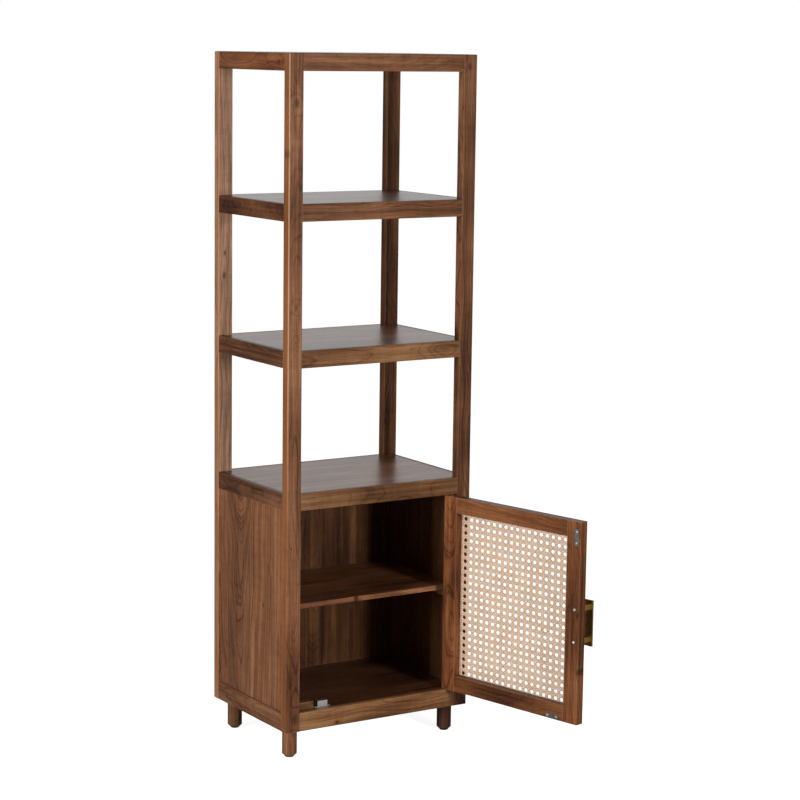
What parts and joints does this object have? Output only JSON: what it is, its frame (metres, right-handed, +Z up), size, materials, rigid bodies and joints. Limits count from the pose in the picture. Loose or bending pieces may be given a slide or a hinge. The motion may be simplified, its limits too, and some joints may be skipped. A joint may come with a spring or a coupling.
{
  "type": "tall storage unit",
  "caption": "Slim wooden etagere with open shelves on square-cut posts over a small cabinet, which closes with a side-hung door of framed woven cane.",
  "frame": {"origin": "on the floor, under the middle of the whole object's box at rest, with the door open; the middle of the carcass lies 40.6 mm to the left of it and 200.9 mm behind it", "axes": "+Z up, +Y towards the back, +X to the right as seen from the front"},
  "size_m": [0.5812, 0.7578, 1.623],
  "materials": {
    "walnut_stained_wood": "satin",
    "woven_cane": "matte",
    "aged_brass": "satin",
    "brass": "satin",
    "zinc_steel": "satin",
    "black_plastic": "matte"
  },
  "bodies": {
    "carcass": {"back_wall": "walnut_stained_wood", "cabinet_floor_back_rail": "walnut_stained_wood", "cabinet_floor_boards": "walnut_stained_wood", "cabinet_floor_front_rail": "walnut_stained_wood", "cabinet_floor_left_rail": "walnut_stained_wood", "cabinet_floor_right_rail": "walnut_stained_wood", "cabinet_top_back_rail": "walnut_stained_wood", "cabinet_top_boards": "walnut_stained_wood", "cabinet_top_front_rail": "walnut_stained_wood", "cabinet_top_left_rail": "walnut_stained_wood", "cabinet_top_right_rail": "walnut_stained_wood", "catch_cases": "zinc_steel", "catch_plates": "zinc_steel", "catch_screws": "zinc_steel", "door_pivot_bushes": "brass", "door_stop": "walnut_stained_wood", "front_left_leg": "walnut_stained_wood", "front_left_post": "walnut_stained_wood", "front_right_leg": "walnut_stained_wood", "front_right_post": "walnut_stained_wood", "inner_shelf": "walnut_stained_wood", "inner_shelf_cleats": "walnut_stained_wood", "left_side_wall": "walnut_stained_wood", "leg_blocks": "walnut_stained_wood", "leg_bolts": "zinc_steel", "leg_glides": "black_plastic", "middle_shelf_back_rail": "walnut_stained_wood", "middle_shelf_boards": "walnut_stained_wood", "middle_shelf_front_rail": "walnut_stained_wood", "middle_shelf_left_rail": "walnut_stained_wood", "middle_shelf_right_rail": "walnut_stained_wood", "rear_left_leg": "walnut_stained_wood", "rear_left_post": "walnut_stained_wood", "rear_right_leg": "walnut_stained_wood", "rear_right_post": "walnut_stained_wood", "right_side_wall": "walnut_stained_wood", "top_back_rail": "walnut_stained_wood", "top_boards": "walnut_stained_wood", "top_front_rail": "walnut_stained_wood", "top_left_rail": "walnut_stained_wood", "top_right_rail": "walnut_stained_wood", "upper_catch_block": "walnut_stained_wood", "upper_shelf_back_rail": "walnut_stained_wood", "upper_shelf_boards": "walnut_stained_wood", "upper_shelf_front_rail": "walnut_stained_wood", "upper_shelf_left_rail": "walnut_stained_wood", "upper_shelf_right_rail": "walnut_stained_wood"},
    "door": {"door_bottom_rail": "walnut_stained_wood", "door_cane": "woven_cane", "door_cane_beads": "walnut_stained_wood", "door_free_stile": "walnut_stained_wood", "door_handle": "aged_brass", "door_handle_screws": "zinc_steel", "door_hinge_stile": "walnut_stained_wood", "door_pivot_pins": "brass", "door_strike_plates": "zinc_steel", "door_strike_screws": "zinc_steel", "door_top_rail": "walnut_stained_wood"}
  },
  "joints": [
    {"name": "door_hinge", "type": "hinge", "parent": "carcass", "child": "door", "pos_m": [0.16236, 0.02888, 0.352], "axis": [0, 0, 1], "range_deg": [-103, 15]}
  ]
}
